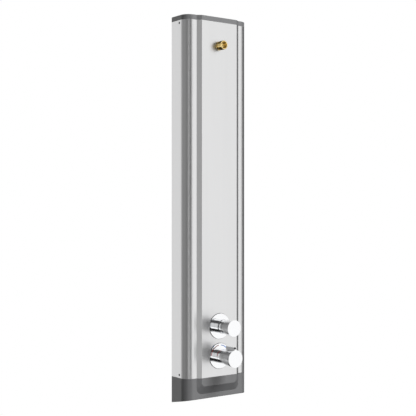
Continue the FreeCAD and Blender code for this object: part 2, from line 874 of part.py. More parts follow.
def thermostatic_cartridge():
    """The cartridge that mixes hot and cold, with three seal grooves and a chamber."""
    shape = disc(mixer_outer, thermostat_rear, thermostat_front, 0.0, knob_z)
    for reach in mixer_seal_reaches:
        rear = reach - seal_groove_width / 2.0
        shape = shape.cut(
            ring(mixer_bore_radius, mixer_groove, rear, rear + seal_groove_width, 0.0, knob_z)
        )
    chamber_rear = thermostat_rear + valve_rear_wall
    shape = shape.cut(disc(mixer_chamber_radius, chamber_rear, thermostat_head, 0.0, knob_z))
    return shape.cut(disc(stem_radius + running_gap, thermostat_head, thermostat_front + past, 0.0, knob_z))


def mixer_seals():
    return group([o_ring(mixer_groove, reach, 0.0, knob_z) for reach in mixer_seal_reaches])


def mixer_spindle():
    """The spindle from the knob into the cartridge, with the screw that moves the shuttle."""
    flange_radius = stem_radius + spindle_flange
    tail_rear = spindle_flange_rear - spindle_tail_length
    hole_rear = spindle_front - knob_screw_length
    shape = disc(stem_radius, spindle_flange_rear, spindle_front, 0.0, knob_z)
    flange = disc(flange_radius, spindle_flange_rear, spindle_flange_front, 0.0, knob_z)
    tail = disc(spindle_tail_radius, tail_rear, spindle_flange_rear, 0.0, knob_z)
    shape = shape.fuse(flange).fuse(tail).removeSplitter()
    return shape.cut(disc(knob_screw_radius + seat_gap, hole_rear, spindle_front + past, 0.0, knob_z))


def regulating_shuttle():
    """The slide that opens one inlet as it closes the other."""
    rear = shuttle_front - shuttle_length
    outer = mixer_chamber_radius - running_gap
    waist = outer - shuttle_waist
    bore = spindle_tail_radius + running_gap
    profile = [
        (bore, rear),
        (outer, rear),
        (outer, rear + shuttle_length / 4.0),
        (waist, rear + shuttle_length / 4.0),
        (waist, rear + shuttle_length * 0.75),
        (outer, rear + shuttle_length * 0.75),
        (outer, shuttle_front),
        (bore, shuttle_front),
    ]
    return turned(profile, 0.0, knob_z)


def knob_collar():
    """The fixed collar on the mixer's neck."""
    lip_rear = mixer_neck_length + fit_gap
    lip_radius = knob_boss_radius + fit_gap
    profile = [
        (mixer_neck_radius + seat_gap, rosette_thickness),
        (collar_radius, rosette_thickness),
        (collar_radius, collar_front),
        (lip_radius, collar_front),
        (lip_radius, lip_rear),
        (mixer_neck_radius + seat_gap, lip_rear),
    ]
    return turned(profile, 0.0, knob_z)


def sector(outer, inner, rear, front, middle_angle, angle):
    """Part of a ring about the knob's axis; angles count anticlockwise from the top."""
    face = polygon_face([
        V(inner, panel_y - rear, knob_z),
        V(outer, panel_y - rear, knob_z),
        V(outer, panel_y - front, knob_z),
        V(inner, panel_y - front, knob_z),
    ])
    turn = FreeCAD.Rotation(V(0, -1, 0), 90.0 + middle_angle - angle / 2.0)
    placement = FreeCAD.Placement(V(0, 0, 0), turn, V(0, 0, knob_z))
    face = face.transformGeometry(placement.toMatrix())
    return face.revolve(V(0, 0, knob_z), V(0, -1, 0), angle)


def temperature_stop_ring():
    """A ring on the collar whose long shoulder stops the knob's lug at both ends."""
    shape = ring(stop_ring_radius, stem_radius + fit_gap, collar_front, stop_ring_front, 0.0, knob_z)
    free = cold_turn + hot_turn + stop_lug_angle + 2.0 * stop_clearance
    middle = 180.0 + (hot_turn - cold_turn) / 2.0 + 180.0
    shoulder = sector(
        stop_ring_radius + stop_lug_height,
        stop_ring_radius - past,
        collar_front,
        stop_ring_front,
        middle,
        360.0 - free,
    )
    return shape.fuse(shoulder).removeSplitter()


def knob_radius_at(reach):
    """The knob's outer radius at a reach in front of the panel."""
    share = (reach - knob_rear) / (knob_front - knob_rear)
    return collar_radius + share * (knob_face_radius - collar_radius)


def fin(rear, front):
    """The pointer's bar between two reaches; its front end slopes down to the face."""
    slope_start = knob_reach - (fin_radius - nib_radius)

    def point(reach, radius):
        return V(-fin_width / 2.0, panel_y - reach, knob_z + radius)

    def root(reach):
        return knob_radius_at(reach) - knob_wall / 2.0

    points = [point(rear, root(rear))]
    for reach in sorted({rear, min(max(slope_start, rear), front), front}):
        points.append(point(reach, min(fin_radius, nib_radius + knob_reach - reach)))
    points.append(point(front, root(front)))
    return polygon_face(points).extrude(V(fin_width, 0, 0))


def temperature_knob():
    """The knob: a cup that widens to its face, a boss on the spindle, and a pointer fin."""
    recess_radius = knob_radius_at(knob_web_front) - knob_wall
    profile = [
        (knob_cup_radius, knob_rear),
        (collar_radius, knob_rear),
        (knob_face_radius, knob_front),
        (recess_radius, knob_front),
        (recess_radius, knob_web_front),
        (knob_screw_radius + fit_gap, knob_web_front),
        (knob_screw_radius + fit_gap, knob_web_rear),
        (stem_radius + seat_gap, knob_web_rear),
        (stem_radius + seat_gap, knob_boss_rear),
        (knob_boss_radius, knob_boss_rear),
        (knob_boss_radius, knob_web_rear),
        (knob_cup_radius, knob_web_rear),
    ]
    shape = turned(profile, 0.0, knob_z).fuse(fin(fin_start, knob_front))
    lug_outer = knob_cup_radius + knob_wall / 2.0
    lug_front = stop_ring_front + past
    lug = sector(lug_outer, stop_lug_inner, knob_rear, lug_front, 180.0, stop_lug_angle)
    return shape.fuse(lug).removeSplitter()


def knob_screw():
    end = spindle_front - knob_screw_length + fit_gap
    shape = disc(knob_screw_radius, end, knob_web_front, 0.0, knob_z)
    head_front = knob_web_front + knob_screw_head_height
    shape = shape.fuse(disc(knob_screw_head_radius, knob_web_front, head_front, 0.0, knob_z))
    mouth = V(0, panel_y - head_front - past, knob_z)
    socket = hexagon(knob_screw_head_radius, mouth, mouth + V(0, past + knob_screw_head_height / 2.0, 0))
    return shape.removeSplitter().cut(socket)


def knob_cap():
    """The knob's flat face, with the nib that points at the scale."""
    ring_outer = knob_radius_at(knob_web_front) - knob_wall - seat_gap
    plate = disc(knob_face_radius, knob_front, knob_reach, 0.0, knob_z)
    side = knob_face_radius * math.cos(math.asin(nib_width / 2.0 / knob_face_radius))
    nib = [
        V(-nib_width / 2.0, panel_y - knob_front, knob_z + side - past),
        V(-nib_width / 2.0, panel_y - knob_front, knob_z + side),
        V(0, panel_y - knob_front, knob_z + nib_radius),
        V(nib_width / 2.0, panel_y - knob_front, knob_z + side),
        V(nib_width / 2.0, panel_y - knob_front, knob_z + side - past),
    ]
    plate = plate.fuse(polygon_face(nib).extrude(V(0, -knob_cap_thickness, 0)))
    plate = plate.fuse(fin(knob_front, knob_reach))
    snap = ring(ring_outer, ring_outer - knob_wall, knob_web_front + fit_gap, knob_front, 0.0, knob_z)
    return plate.fuse(snap).removeSplitter()


def link_pipe():
    start = V(0, pipe_y, link_low_z - pipe_insert + fit_gap)
    end = V(0, pipe_y, link_high_z + pipe_insert - fit_gap)
    return pipe_length(pipe_radius, pipe_radius - pipe_wall, start, end)


def link_nuts():
    """Two thin nuts that share the short room between the two valves."""
    low = pipe_nut(V(0, pipe_y, link_low_z), V(0, 0, 1), link_nut_length)
    high = pipe_nut(V(0, pipe_y, link_high_z), V(0, 0, -1), link_nut_length)
    return group([low, high])


# ---------------------------------------------------------------- inlets
def inlet_pipe(side):
    """A bent pipe from the mixer's side up to a stopcock; side is -1 or 1."""
    bend_start = V(side * (inlet_x - inlet_bend_radius), pipe_y, knob_z)
    bend_end = V(side * inlet_x, pipe_y, knob_z + inlet_bend_radius)
    half = math.sqrt(0.5)
    bend_middle = V(
        side * (inlet_x - inlet_bend_radius * (1.0 - half)),
        pipe_y,
        knob_z + inlet_bend_radius * (1.0 - half),
    )
    start = V(side * (side_stub_x - pipe_insert + fit_gap), pipe_y, knob_z)
    end = V(side * inlet_x, pipe_y, stopcock_foot_z + pipe_insert - fit_gap)
    route = Part.Wire([
        Part.LineSegment(start, bend_start).toShape(),
        Part.Arc(bend_start, bend_middle, bend_end).toShape(),
        Part.LineSegment(bend_end, end).toShape(),
    ])

    def swept(radius):
        section = Part.Wire(Part.makeCircle(radius, start, V(side, 0, 0)))
        return route.makePipeShell([section], True, False)

    return swept(pipe_radius).cut(swept(pipe_radius - pipe_wall))


def inlet_pipe_nuts():
    solids = []
    for side in (-1.0, 1.0):
        stub_end = V(side * side_stub_x, pipe_y, knob_z)
        solids.append(pipe_nut(stub_end, V(side, 0, 0), side_nut_length))
        solids.append(pipe_nut(V(side * inlet_x, pipe_y, stopcock_foot_z), V(0, 0, -1)))
    return group(solids)


def stopcock(side):
    """A brass angle valve: pipe socket below, quarter-turn ball, neck towards the wall."""
    x = side * inlet_x
    foot = V(x, pipe_y, stopcock_foot_z)
    centre = V(x, pipe_y, stopcock_z)
    corner = V(x, pipe_y, inlet_z)
    shoulder = V(x, leg_end_y - union_nut_length - filter_front_y, inlet_z)
    neck_end = V(x, leg_end_y, inlet_z)
    boss_end = V(x, pipe_y - isolator_boss_reach, stopcock_z)
    shape = rod(stopcock_radius, foot, corner).fuse(Part.makeSphere(stopcock_radius, corner))
    shape = shape.fuse(rod(stopcock_radius, corner, shoulder))
    shape = shape.fuse(rod(neck_radius, shoulder, neck_end))
    flange_start = neck_end - V(0, union_flange_thickness, 0)
    shape = shape.fuse(rod(union_flange_radius, flange_start, neck_end))
    shape = shape.fuse(rod(isolator_boss_radius, centre, boss_end)).removeSplitter()
    seat = neck_end - V(0, check_valve_length + fit_gap, 0)
    shape = shape.cut(rod(check_valve_radius + seat_gap, seat, neck_end + V(0, past, 0)))
    shape = shape.cut(rod(ball_bore_radius, foot, corner)).cut(rod(ball_bore_radius, corner, neck_end))
    shape = shape.cut(Part.makeSphere(ball_bore_radius, corner))
    shape = shape.cut(Part.makeSphere(ball_radius + running_gap, centre))
    shape = shape.cut(rod(isolator_stem_radius + running_gap, centre, boss_end - V(0, past, 0)))
    return shape.cut(rod(pipe_radius + seat_gap, foot - V(0, 0, past), foot + V(0, 0, pipe_insert)))


def isolator(side):
    """A quarter-turn ball with its slotted stem; it stands open."""
    x = side * inlet_x
    centre = V(x, pipe_y, stopcock_z)
    tip = V(x, pipe_y - isolator_boss_reach - past, stopcock_z)
    shape = Part.makeSphere(ball_radius, centre)
    shape = shape.fuse(rod(isolator_stem_radius, centre - V(0, ball_radius * 0.6, 0), tip)).removeSplitter()
    reach = V(0, 0, ball_radius + past)
    shape = shape.cut(rod(ball_bore_radius, centre - reach, centre + reach))
    slot = block(
        x - isolator_slot / 2.0,
        x + isolator_slot / 2.0,
        tip.y - past,
        tip.y + isolator_slot * 1.5,
        stopcock_z - isolator_stem_radius - past,
        stopcock_z + isolator_stem_radius + past,
    )
    return shape.cut(slot)


def check_valve(side):
    """A sealed non-return insert in the stopcock's neck."""
    end = V(side * inlet_x, leg_end_y - seat_gap, inlet_z)
    start = end - V(0, check_valve_length - seat_gap, 0)
    return pipe_length(check_valve_radius, ball_bore_radius, start, end)


def inlet_filter(side):
    """A perforated disc that is pinched between the supply and the neck."""
    x = side * inlet_x
    start = V(x, leg_end_y, inlet_z)
    end = V(x, filter_front_y, inlet_z)
    shape = rod(union_flange_radius, start, end)
    for place in [V(0, 0, inlet_z)] + spaced_around(6, filter_pitch_radius, inlet_z):
        hole_start = V(x + place.x, start.y - past, place.z)
        shape = shape.cut(rod(filter_hole_radius, hole_start, V(x + place.x, end.y + past, place.z)))
    return shape


def union_nut(side):
    """The coupling nut that takes the supply's male thread."""
    x = side * inlet_x
    mouth = V(x, 0, inlet_z)
    rear = V(x, -union_nut_length, inlet_z)
    thread_end = V(x, -inlet_thread_depth, inlet_z)
    lip_front = V(x, -union_nut_length + union_lip, inlet_z)
    shape = hexagon(union_nut_flats, rear, mouth)
    shape = shape.cut(rod(thread_radius, thread_end, mouth + V(0, past, 0)))
    shape = shape.cut(rod(thread_radius + union_relief, lip_front, thread_end))
    return shape.cut(rod(neck_radius + seat_gap, rear - V(0, past, 0), thread_end))


# ---------------------------------------------------------------- all the pieces
save("column_profile", column_profile())
save("top_cap", top_cap())
save("bottom_cap", bottom_cap())
save("wall_bracket_top", wall_bracket(top_screw_z))
save("wall_bracket_bottom", wall_bracket(bottom_screw_z))
save("side_screws", at_each_side_screw(side_screw))
save("bracket_nuts", at_each_side_screw(rivet_nut))
save("shower_nipple", shower_nipple())
save("flow_limiter", flow_limiter())
save("nipple_washer", nipple_washer())
save("nipple_locknut", nipple_locknut())
save("outlet_elbow", outlet_elbow())
save("riser_pipe", riser_pipe())
save("riser_nuts", riser_nuts())
save("riser_clips", riser_clips())
save("valve_body", valve_body())
save("valve_gasket", front_gasket(valve_radius, valve_neck_radius, push_z))
save("timeflow_cartridge", timeflow_cartridge())
save("timeflow_seals", timeflow_seals())
save("push_stem", push_stem())
save("return_spring", return_spring())
save("push_collar", push_collar())
save("push_rosette", rosette(valve_neck_radius, push_z))
save("push_button", push_button())
save("link_pipe", link_pipe())
save("link_nuts", link_nuts())
save("mixer_body", mixer_body())
save("mixer_gasket", front_gasket(mixer_radius, mixer_neck_radius, knob_z))
save("thermostatic_cartridge", thermostatic_cartridge())
save("mixer_seals", mixer_seals())
save("mixer_spindle", mixer_spindle())
save("regulating_shuttle", regulating_shuttle())
save("knob_collar", knob_collar())
save("knob_rosette", rosette(mixer_neck_radius, knob_z))
save("temperature_stop_ring", temperature_stop_ring())
save("temperature_knob", temperature_knob())
save("knob_screw", knob_screw())
save("knob_cap", knob_cap())
for name, side in (("hot", -1.0), ("cold", 1.0)):
    save("inlet_pipe_" + name, inlet_pipe(side))
    save("stopcock_" + name, stopcock(side))
    save("isolator_" + name, isolator(side))
    save("check_valve_" + name, check_valve(side))
    save("inlet_filter_" + name, inlet_filter(side))
    save("union_nut_" + name, union_nut(side))
save("inlet_pipe_nuts", inlet_pipe_nuts())
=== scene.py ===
import json
import math

import bpy
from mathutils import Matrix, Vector


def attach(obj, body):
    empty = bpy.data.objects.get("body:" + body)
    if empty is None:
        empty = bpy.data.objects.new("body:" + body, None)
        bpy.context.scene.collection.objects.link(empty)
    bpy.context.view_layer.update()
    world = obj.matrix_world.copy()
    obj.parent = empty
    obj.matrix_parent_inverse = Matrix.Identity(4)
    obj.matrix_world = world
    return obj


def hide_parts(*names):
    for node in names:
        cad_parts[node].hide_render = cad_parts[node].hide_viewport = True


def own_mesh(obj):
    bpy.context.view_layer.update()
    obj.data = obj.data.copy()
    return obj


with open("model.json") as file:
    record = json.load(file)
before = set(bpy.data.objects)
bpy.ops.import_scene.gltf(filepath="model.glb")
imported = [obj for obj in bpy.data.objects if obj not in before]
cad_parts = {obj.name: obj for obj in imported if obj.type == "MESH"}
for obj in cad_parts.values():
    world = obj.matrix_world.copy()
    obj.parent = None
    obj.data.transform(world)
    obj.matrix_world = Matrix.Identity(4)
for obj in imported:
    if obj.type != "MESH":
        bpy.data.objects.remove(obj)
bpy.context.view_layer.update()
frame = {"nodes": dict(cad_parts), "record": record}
nodes = frame["nodes"]

# Places in metres: the raised panel's front face, and the height of each fitting on it
panel_y = -0.067
nipple_z = 0.3824
push_z = -0.2815
knob_z = -0.352

# Sizes of the fittings in millimetres. A reach is measured out from the raised panel.
mm = 0.001
rosette_radius = 30.8
rosette_reach = 1.5
push_neck_hole = 13.9
knob_neck_hole = 15.0
collar_radius = 17.0
collar_reach = 15.5
head_bore = 14.6
knob_radius = 20.4
knob_reach = 59.5
cap_reach = 61.5
thread_radius = 10.4775
thread_pitch = 25.4 / 14.0
nipple_reach = 18.0
nipple_rim_radius = 9.98

# Edges are rounded by these widths, and round pieces have this many steps
edge_round = 0.25
fine_round = 0.15
finest_round = 0.12
collar_steps = 96
large_steps = 128
thread_steps = 72

# Directions that cuts face, and how near to a plane, in metres, a corner lies on it
to_wall = (0.0, 1.0, 0.0)
to_right = (1.0, 0.0, 0.0)
near = 1e-6


# ---------------------------------------------------------------- finishes
class Value:
    """What a node gives out, so that it can take part in sums."""

    def __init__(self, finish, socket):
        self.finish = finish
        self.socket = socket

    def sum(self, operation, *values):
        return self.finish.node("ShaderNodeMath", {"operation": operation}, dict(enumerate(values)))

    def __add__(self, other):
        return self.sum("ADD", self, other)

    def __sub__(self, other):
        return self.sum("SUBTRACT", self, other)

    def __mul__(self, other):
        return self.sum("MULTIPLY", self, other)

    def __truediv__(self, other):
        return self.sum("DIVIDE", self, other)

    def __rsub__(self, other):
        return self.sum("SUBTRACT", other, self)

    def __gt__(self, other):
        return self.sum("GREATER_THAN", self, other)

    def __lt__(self, other):
        return self.sum("LESS_THAN", self, other)

    __radd__ = __add__
    __rmul__ = __mul__

    def absolute(self):
        return self.sum("ABSOLUTE", self)

    def wave(self):
        return self.sum("SINE", self)

    def root(self):
        return self.sum("SQRT", self)

    def angle_from(self, other):
        """The angle, in degrees, that has this value opposite it and the other beside it."""
        return self.sum("ARCTAN2", self, other) * (180.0 / math.pi)

    def ramp(self, low, high):
        """0 at low, 1 at high, smooth between them."""
        sockets = {"Value": self, "From Min": low, "From Max": high}
        return self.finish.node("ShaderNodeMapRange", {"interpolation_type": "SMOOTHSTEP"}, sockets)

    def between(self, rise, fall):
        """1 from the end of the rise to the start of the fall, 0 outside both."""
        return self.ramp(*rise) * (1.0 - self.ramp(*fall))


class Finish:
    """A material, or the world, with its shader and the nodes that feed it."""

    def __init__(self, owner, shader, **sockets):
        owner.use_nodes = True
        self.owner = owner
        self.tree = owner.node_tree
        self.shader = self.tree.nodes[shader]
        for key, value in sockets.items():
            self.set(key.replace("_", " "), value)

    def node(self, kind, settings=None, sockets=None, output=0):
        """Adds a node: its settings first, then the values or links of its sockets."""
        made = self.tree.nodes.new(kind)
        for key, value in (settings or {}).items():
            if key == "stops":
                ramp = made.color_ramp
                while len(ramp.elements) < len(value):
                    ramp.elements.new(1.0)
                for stop, (position, colour) in zip(ramp.elements, value):
                    stop.position = position
                    stop.color = (*colour, 1.0)
            else:
                setattr(made, key, value)
        for key, value in (sockets or {}).items():
            self.feed(made.inputs[key], value)
        return Value(self, made.outputs[output])

    def feed(self, socket, value):
        if isinstance(value, Value):
            self.tree.links.new(value.socket, socket)
        else:
            socket.default_value = value

    def set(self, socket, value):
        self.feed(self.shader.inputs[socket], value)

    def place(self):
        return self.node("ShaderNodeTexCoord", output="Object")

    def parts(self, vector):
        """The X, Y and Z of a vector."""
        split = self.node("ShaderNodeSeparateXYZ", None, {"Vector": vector}).socket.node
        return [Value(self, output) for output in split.outputs]

    def camera_ray(self):
        """1 where the camera looks straight at it, 0 in a mirror or on the light's way."""
        return self.node("ShaderNodeLightPath", output="Is Camera Ray")

    def stretched(self, scale, offset=(0.0, 0.0, 0.0)):
        """The object's place, scaled along each axis."""
        sockets = {"Vector": self.place(), "Scale": scale, "Location": offset}
        return self.node("ShaderNodeMapping", None, sockets)

    def noise(self, scale, detail, offset=(0.0, 0.0, 0.0)):
        """Smooth noise, with about so many patches to the metre along each axis."""
        sockets = {
            "Vector": self.stretched(scale, offset),
            "Scale": 1.0,
            "Detail": detail,
            "Roughness": 0.55,
        }
        return self.node("ShaderNodeTexNoise", None, sockets)

    def mix(self, factor, low, high):
        """A colour between two colours."""
        low, high = (colour if isinstance(colour, Value) else (*colour, 1.0) for colour in (low, high))
        return self.node("ShaderNodeMix", {"data_type": "RGBA"}, {0: factor, 6: low, 7: high}, output=2)

    def bump(self, height, distance, strength):
        """Relief in the surface; the distance is in metres."""
        sockets = {"Height": height, "Distance": distance, "Strength": strength}
        self.set("Normal", self.node("ShaderNodeBump", None, sockets))


def surface(name, **sockets):
    """A new material's finish, with the steady values of its shader."""
    return Finish(bpy.data.materials.new(name), "Principled BSDF", **sockets)


def anodised_aluminium():
    """Satin anodised extrusion: fine draw lines along the column."""
    dull = (0.745, 0.747, 0.752)
    bright = (0.82, 0.82, 0.82)
    finish = surface("anodised_aluminium", Metallic=1.0)
    lines = finish.noise((900.0, 900.0, 4.0), 4.0)
    streaks = finish.noise((60.0, 60.0, 1.5), 2.0, offset=(3.0, 1.0, 0.0))
    clouds = finish.noise((9.0, 9.0, 5.0), 2.0)
    finish.set("Base Color", finish.mix(streaks * 0.6 + clouds * 0.4, dull, bright))
    finish.set("Roughness", 0.29 + 0.05 * lines + 0.03 * clouds)
    finish.bump(lines, 0.00002, 0.25)
    return finish.owner


def cap_plastic():
    """Dark moulded plastic with a fine spark-eroded grain."""
    dark = (0.112, 0.113, 0.116)
    light = (0.134, 0.135, 0.138)
    finish = surface("cap_plastic", Specular_IOR_Level=0.75)
    cells = {"Vector": finish.stretched((2200.0,) * 3), "Scale": 1.0}
    grain = finish.node("ShaderNodeTexVoronoi", None, cells)
    clouds = finish.noise((30.0,) * 3, 3.0)
    finish.set("Base Color", finish.mix(clouds, dark, light))
    finish.set("Roughness", 0.27 + 0.06 * clouds)
    finish.bump(grain, 0.00004, 0.35)
    return finish.owner


# The chrome's own colour, also between the enamelled arcs
silver = (0.90, 0.905, 0.915)


def wiped_haze(finish):
    """Patches where wiping has left the polish a little dull."""
    return 0.05 * finish.noise((140.0,) * 3, 4.0).ramp(0.45, 0.75)


def chrome(name):
    """Polished chrome plate, with the faintest haze from wiping."""
    finish = surface(name, Metallic=1.0, Base_Color=(*silver, 1.0))
    wipes = finish.noise((500.0, 30.0, 30.0), 3.0)
    finish.set("Roughness", 0.03 + wiped_haze(finish) + 0.02 * wipes)
    finish.bump(wipes, 0.000004, 0.2)
    return finish


def scale_chrome():
    """The knob's rosette: chrome with a red and a blue enamelled arc.

    The arcs' ends are in degrees from the top, clockwise as seen from the front.
    """
    enamel_red = (0.40, 0.025, 0.035)
    enamel_blue = (0.07, 0.21, 0.58)
    red_from, red_to = -84.0, -7.0
    blue_from, blue_to = 7.0, 62.0
    arc_radius = 0.0256
    arc_half_width = 0.0009
    front_only = panel_y - 0.001
    finish = chrome("chrome_scale")
    x, y, z = finish.parts(finish.place())
    height = z - knob_z
    radius = (x * x + height * height).root()
    angle = x.angle_from(height)
    band = ((radius - arc_radius).absolute() < arc_half_width) * (y < front_only)
    red = band * (angle > red_from) * (angle < red_to)
    blue = band * (angle > blue_from) * (angle < blue_to)
    colour = finish.mix(red, silver, enamel_red)
    finish.set("Base Color", finish.mix(blue, colour, enamel_blue))
    marked = red + blue
    finish.set("Metallic", 1.0 - marked)
    finish.set("Roughness", 0.04 + wiped_haze(finish) + 0.26 * marked)
    return finish.owner


def bright_brass():
    """Turned brass: fine tool rings and a warm tarnish in places."""
    bright = (0.97, 0.76, 0.34)
    tarnished = (0.84, 0.60, 0.24)
    finish = surface("bright_brass", Metallic=1.0)
    along = finish.parts(finish.place())[1]
    rings = (along * 9000.0).wave()
    clouds = finish.noise((220.0,) * 3, 4.0)
    finish.set("Base Color", finish.mix(clouds.ramp(0.35, 0.75), bright, tarnished))
    finish.set("Roughness", 0.16 + 0.10 * clouds)
    finish.bump(rings, 0.000006, 0.4)
    return finish.owner


def cast_brass():
    """Cast and shot-blasted brass."""
    bright = (0.78, 0.56, 0.27)
    dull = (0.62, 0.42, 0.20)
    finish = surface("cast_brass", Metallic=1.0)
    grain = finish.noise((1400.0,) * 3, 3.0)
    clouds = finish.noise((60.0,) * 3, 4.0)
    finish.set("Base Color", finish.mix(clouds.ramp(0.3, 0.7), bright, dull))
    finish.set("Roughness", 0.34 + 0.16 * clouds)
    finish.bump(grain, 0.00008, 0.4)
    return finish.owner


def copper_tube():
    """Drawn copper tube with draw lines and dull oxide patches."""
    bright = (0.86, 0.47, 0.31)
    oxidised = (0.50, 0.25, 0.17)
    finish = surface("copper_tube", Metallic=1.0)
    lines = finish.noise((1500.0, 1500.0, 12.0), 3.0)
    oxide = finish.noise((45.0, 45.0, 30.0), 5.0)
    finish.set("Base Color", finish.mix(oxide.ramp(0.4, 0.75), bright, oxidised))
    finish.set("Roughness", 0.20 + 0.25 * oxide)
    finish.bump(lines, 0.00002, 0.3)
    return finish.owner


def brushed(name, light, dark, roughness, scale):
    """Brushed or drawn steel; scale sets which way its lines run."""
    finish = surface(name, Metallic=1.0)
    lines = finish.noise(scale, 4.0)
    clouds = finish.noise((40.0,) * 3, 3.0)
    finish.set("Base Color", finish.mix(lines * 0.5 + clouds * 0.5, dark, light))
    finish.set("Roughness", roughness + 0.14 * lines)
    finish.bump(lines, 0.00002, 0.35)
    return finish.owner


def moulded(name, light, dark, roughness, grain_size=900.0):
    """Moulded plastic or rubber, or a blackened screw: a fine grain and a little colour drift."""
    finish = surface(name)
    grain = finish.noise((grain_size,) * 3, 2.0)
    clouds = finish.noise((55.0,) * 3, 3.0)
    finish.set("Base Color", finish.mix(clouds, dark, light))
    finish.set("Roughness", roughness + 0.1 * clouds)
    finish.bump(grain, 0.00005, 0.3)
    return finish.owner


# Brushing and drawing lines, by the way they run
across_lines = (12.0, 900.0, 900.0)
outward_lines = (900.0, 20.0, 900.0)
no_lines = (700.0, 700.0, 700.0)

chrome_plate = chrome("chrome").owner
finishes = {
    "anodised_aluminium": anodised_aluminium(),
    "cap_plastic": cap_plastic(),
    "bracket_steel": brushed("bracket_steel", (0.66, 0.67, 0.68), (0.52, 0.53, 0.54), 0.30, across_lines),
    "screw_steel": moulded("screw_steel", (0.022, 0.022, 0.024), (0.012, 0.012, 0.013), 0.38),
    "zinc_steel": brushed("zinc_steel", (0.72, 0.72, 0.68), (0.55, 0.56, 0.53), 0.32, no_lines),
    "brass": bright_brass(),
    "cast_brass": cast_brass(),
    "copper_tube": copper_tube(),
    "rubber": moulded("rubber", (0.035, 0.035, 0.036), (0.02, 0.02, 0.021), 0.62, 1500.0),
    "chrome": chrome_plate,
    "cartridge_plastic": moulded("cartridge_plastic", (0.82, 0.81, 0.77), (0.74, 0.73, 0.69), 0.42),
    "stainless": brushed("stainless", (0.70, 0.70, 0.69), (0.56, 0.56, 0.56), 0.24, outward_lines),
    "check_plastic": moulded("check_plastic", (0.10, 0.23, 0.48), (0.07, 0.17, 0.38), 0.40),
}
chrome_scale = scale_chrome()

slot_of = {part["node"]: part["material_slot"] for part in frame["record"]["subparts"]}
for name, piece in nodes.items():
    piece.data.materials.clear()
    piece.data.materials.append(finishes[slot_of[name]])
nodes["knob_rosette"].data.materials[0] = chrome_scale


# ---------------------------------------------------------------- modelling
def one(piece):
    """Makes the piece the only one selected."""
    bpy.ops.object.select_all(action="DESELECT")
    piece.select_set(True)
    bpy.context.view_layer.objects.active = piece


def profile_line(name, points, place):
    """A line of edges through (across, along -Y) points, drawn out from its first point."""
    bpy.ops.object.select_all(action="DESELECT")
    bpy.ops.mesh.primitive_plane_add(size=mm, location=place)
    piece = bpy.context.object
    piece.name = name
    piece.data.name = name
    bpy.ops.object.mode_set(mode="EDIT")
    bpy.ops.mesh.select_all(action="SELECT")
    bpy.ops.mesh.merge(type="CENTER")
    start = Vector((points[0][0], -points[0][1], 0.0))
    bpy.ops.transform.translate(value=start)
    for (across, along), (next_across, next_along) in zip(points, points[1:]):
        step = (next_across - across, along - next_along, 0.0)
        bpy.ops.mesh.extrude_region_move(TRANSFORM_OT_translate={"value": step})
    bpy.ops.object.mode_set(mode="OBJECT")
    return piece


def modify(piece, kind, **settings):
    """Adds a modifier and applies it."""
    one(piece)
    bpy.ops.object.modifier_add(type=kind)
    modifier = piece.modifiers[-1]
    for key, value in settings.items():
        setattr(modifier, key, value)
    bpy.ops.object.modifier_apply(modifier=modifier.name)


def close(piece):
    """Welds the seams and turns all faces outwards."""
    one(piece)
    bpy.ops.object.mode_set(mode="EDIT")
    bpy.ops.mesh.select_all(action="SELECT")
    bpy.ops.mesh.remove_doubles(threshold=2.0 * near)
    bpy.ops.mesh.normals_make_consistent(inside=False)
    bpy.ops.object.mode_set(mode="OBJECT")


def settle(piece):
    """Puts the piece's place and size in its mesh, and its object at the origin."""
    one(piece)
    bpy.ops.object.transform_apply(location=True, rotation=True, scale=True)


def soften(piece, width=0.0):
    """Rounds the sharp edges by the width, where it has one, and smooths the rest."""
    if width:
        modify(
            piece, "BEVEL", width=width * mm, segments=3, limit_method="ANGLE",
            angle_limit=math.radians(30.0), harden_normals=False,
        )
    settle(piece)
    bpy.ops.object.shade_smooth_by_angle(angle=math.radians(38.0))
    modify(piece, "WEIGHTED_NORMAL", keep_sharp=True, weight=80)


def ring(profile):
    """A profile that runs back to its first point."""
    return profile + profile[:1]


def turned(name, profile, centre_z, steps=collar_steps, pitch=0.0, turns=1):
    """A lathe-turned shape about the line along Y at centre_z.

    The profile holds (radius, reach) in millimetres; a pitch makes it climb at each turn.
    """
    points = [(radius * mm, reach * mm) for radius, reach in profile]
    piece = profile_line(name, points, (0.0, panel_y, centre_z))
    modify(
        piece, "SCREW", axis="Y", steps=steps, render_steps=steps, screw_offset=pitch * mm,
        iterations=turns, use_merge_vertices=True, merge_threshold=near, use_normal_calculate=True,
    )
    close(piece)
    return piece


def bar(name, low, high):
    """A closed box between two corners, in metres, ready to be shaped."""
    bpy.ops.object.select_all(action="DESELECT")
    middle = [(a + b) / 2.0 for a, b in zip(low, high)]
    size = [b - a for a, b in zip(low, high)]
    bpy.ops.mesh.primitive_cube_add(size=1.0, location=middle, scale=size)
    piece = bpy.context.object
    piece.name = name
    settle(piece)
    return piece


def cut(piece, place, normal, **cleared):
    """Cuts all faces along a plane; clear_outer or clear_inner takes that side away."""
    one(piece)
    bpy.ops.object.mode_set(mode="EDIT")
    bpy.ops.mesh.select_all(action="SELECT")
    bpy.ops.mesh.bisect(plane_co=place, plane_no=normal, **cleared)
    bpy.ops.object.mode_set(mode="OBJECT")


def lift_corners(piece, chosen, height):
    """Moves the corners that the test chooses straight up, or down."""
    one(piece)
    bpy.ops.object.mode_set(mode="EDIT")
    bpy.ops.mesh.select_mode(type="VERT")
    bpy.ops.mesh.select_all(action="DESELECT")
    bpy.ops.object.mode_set(mode="OBJECT")
    for vertex in piece.data.vertices:
        vertex.select = chosen(vertex.co)
    bpy.ops.object.mode_set(mode="EDIT")
    bpy.ops.transform.translate(value=(0.0, 0.0, height))
    bpy.ops.object.mode_set(mode="OBJECT")


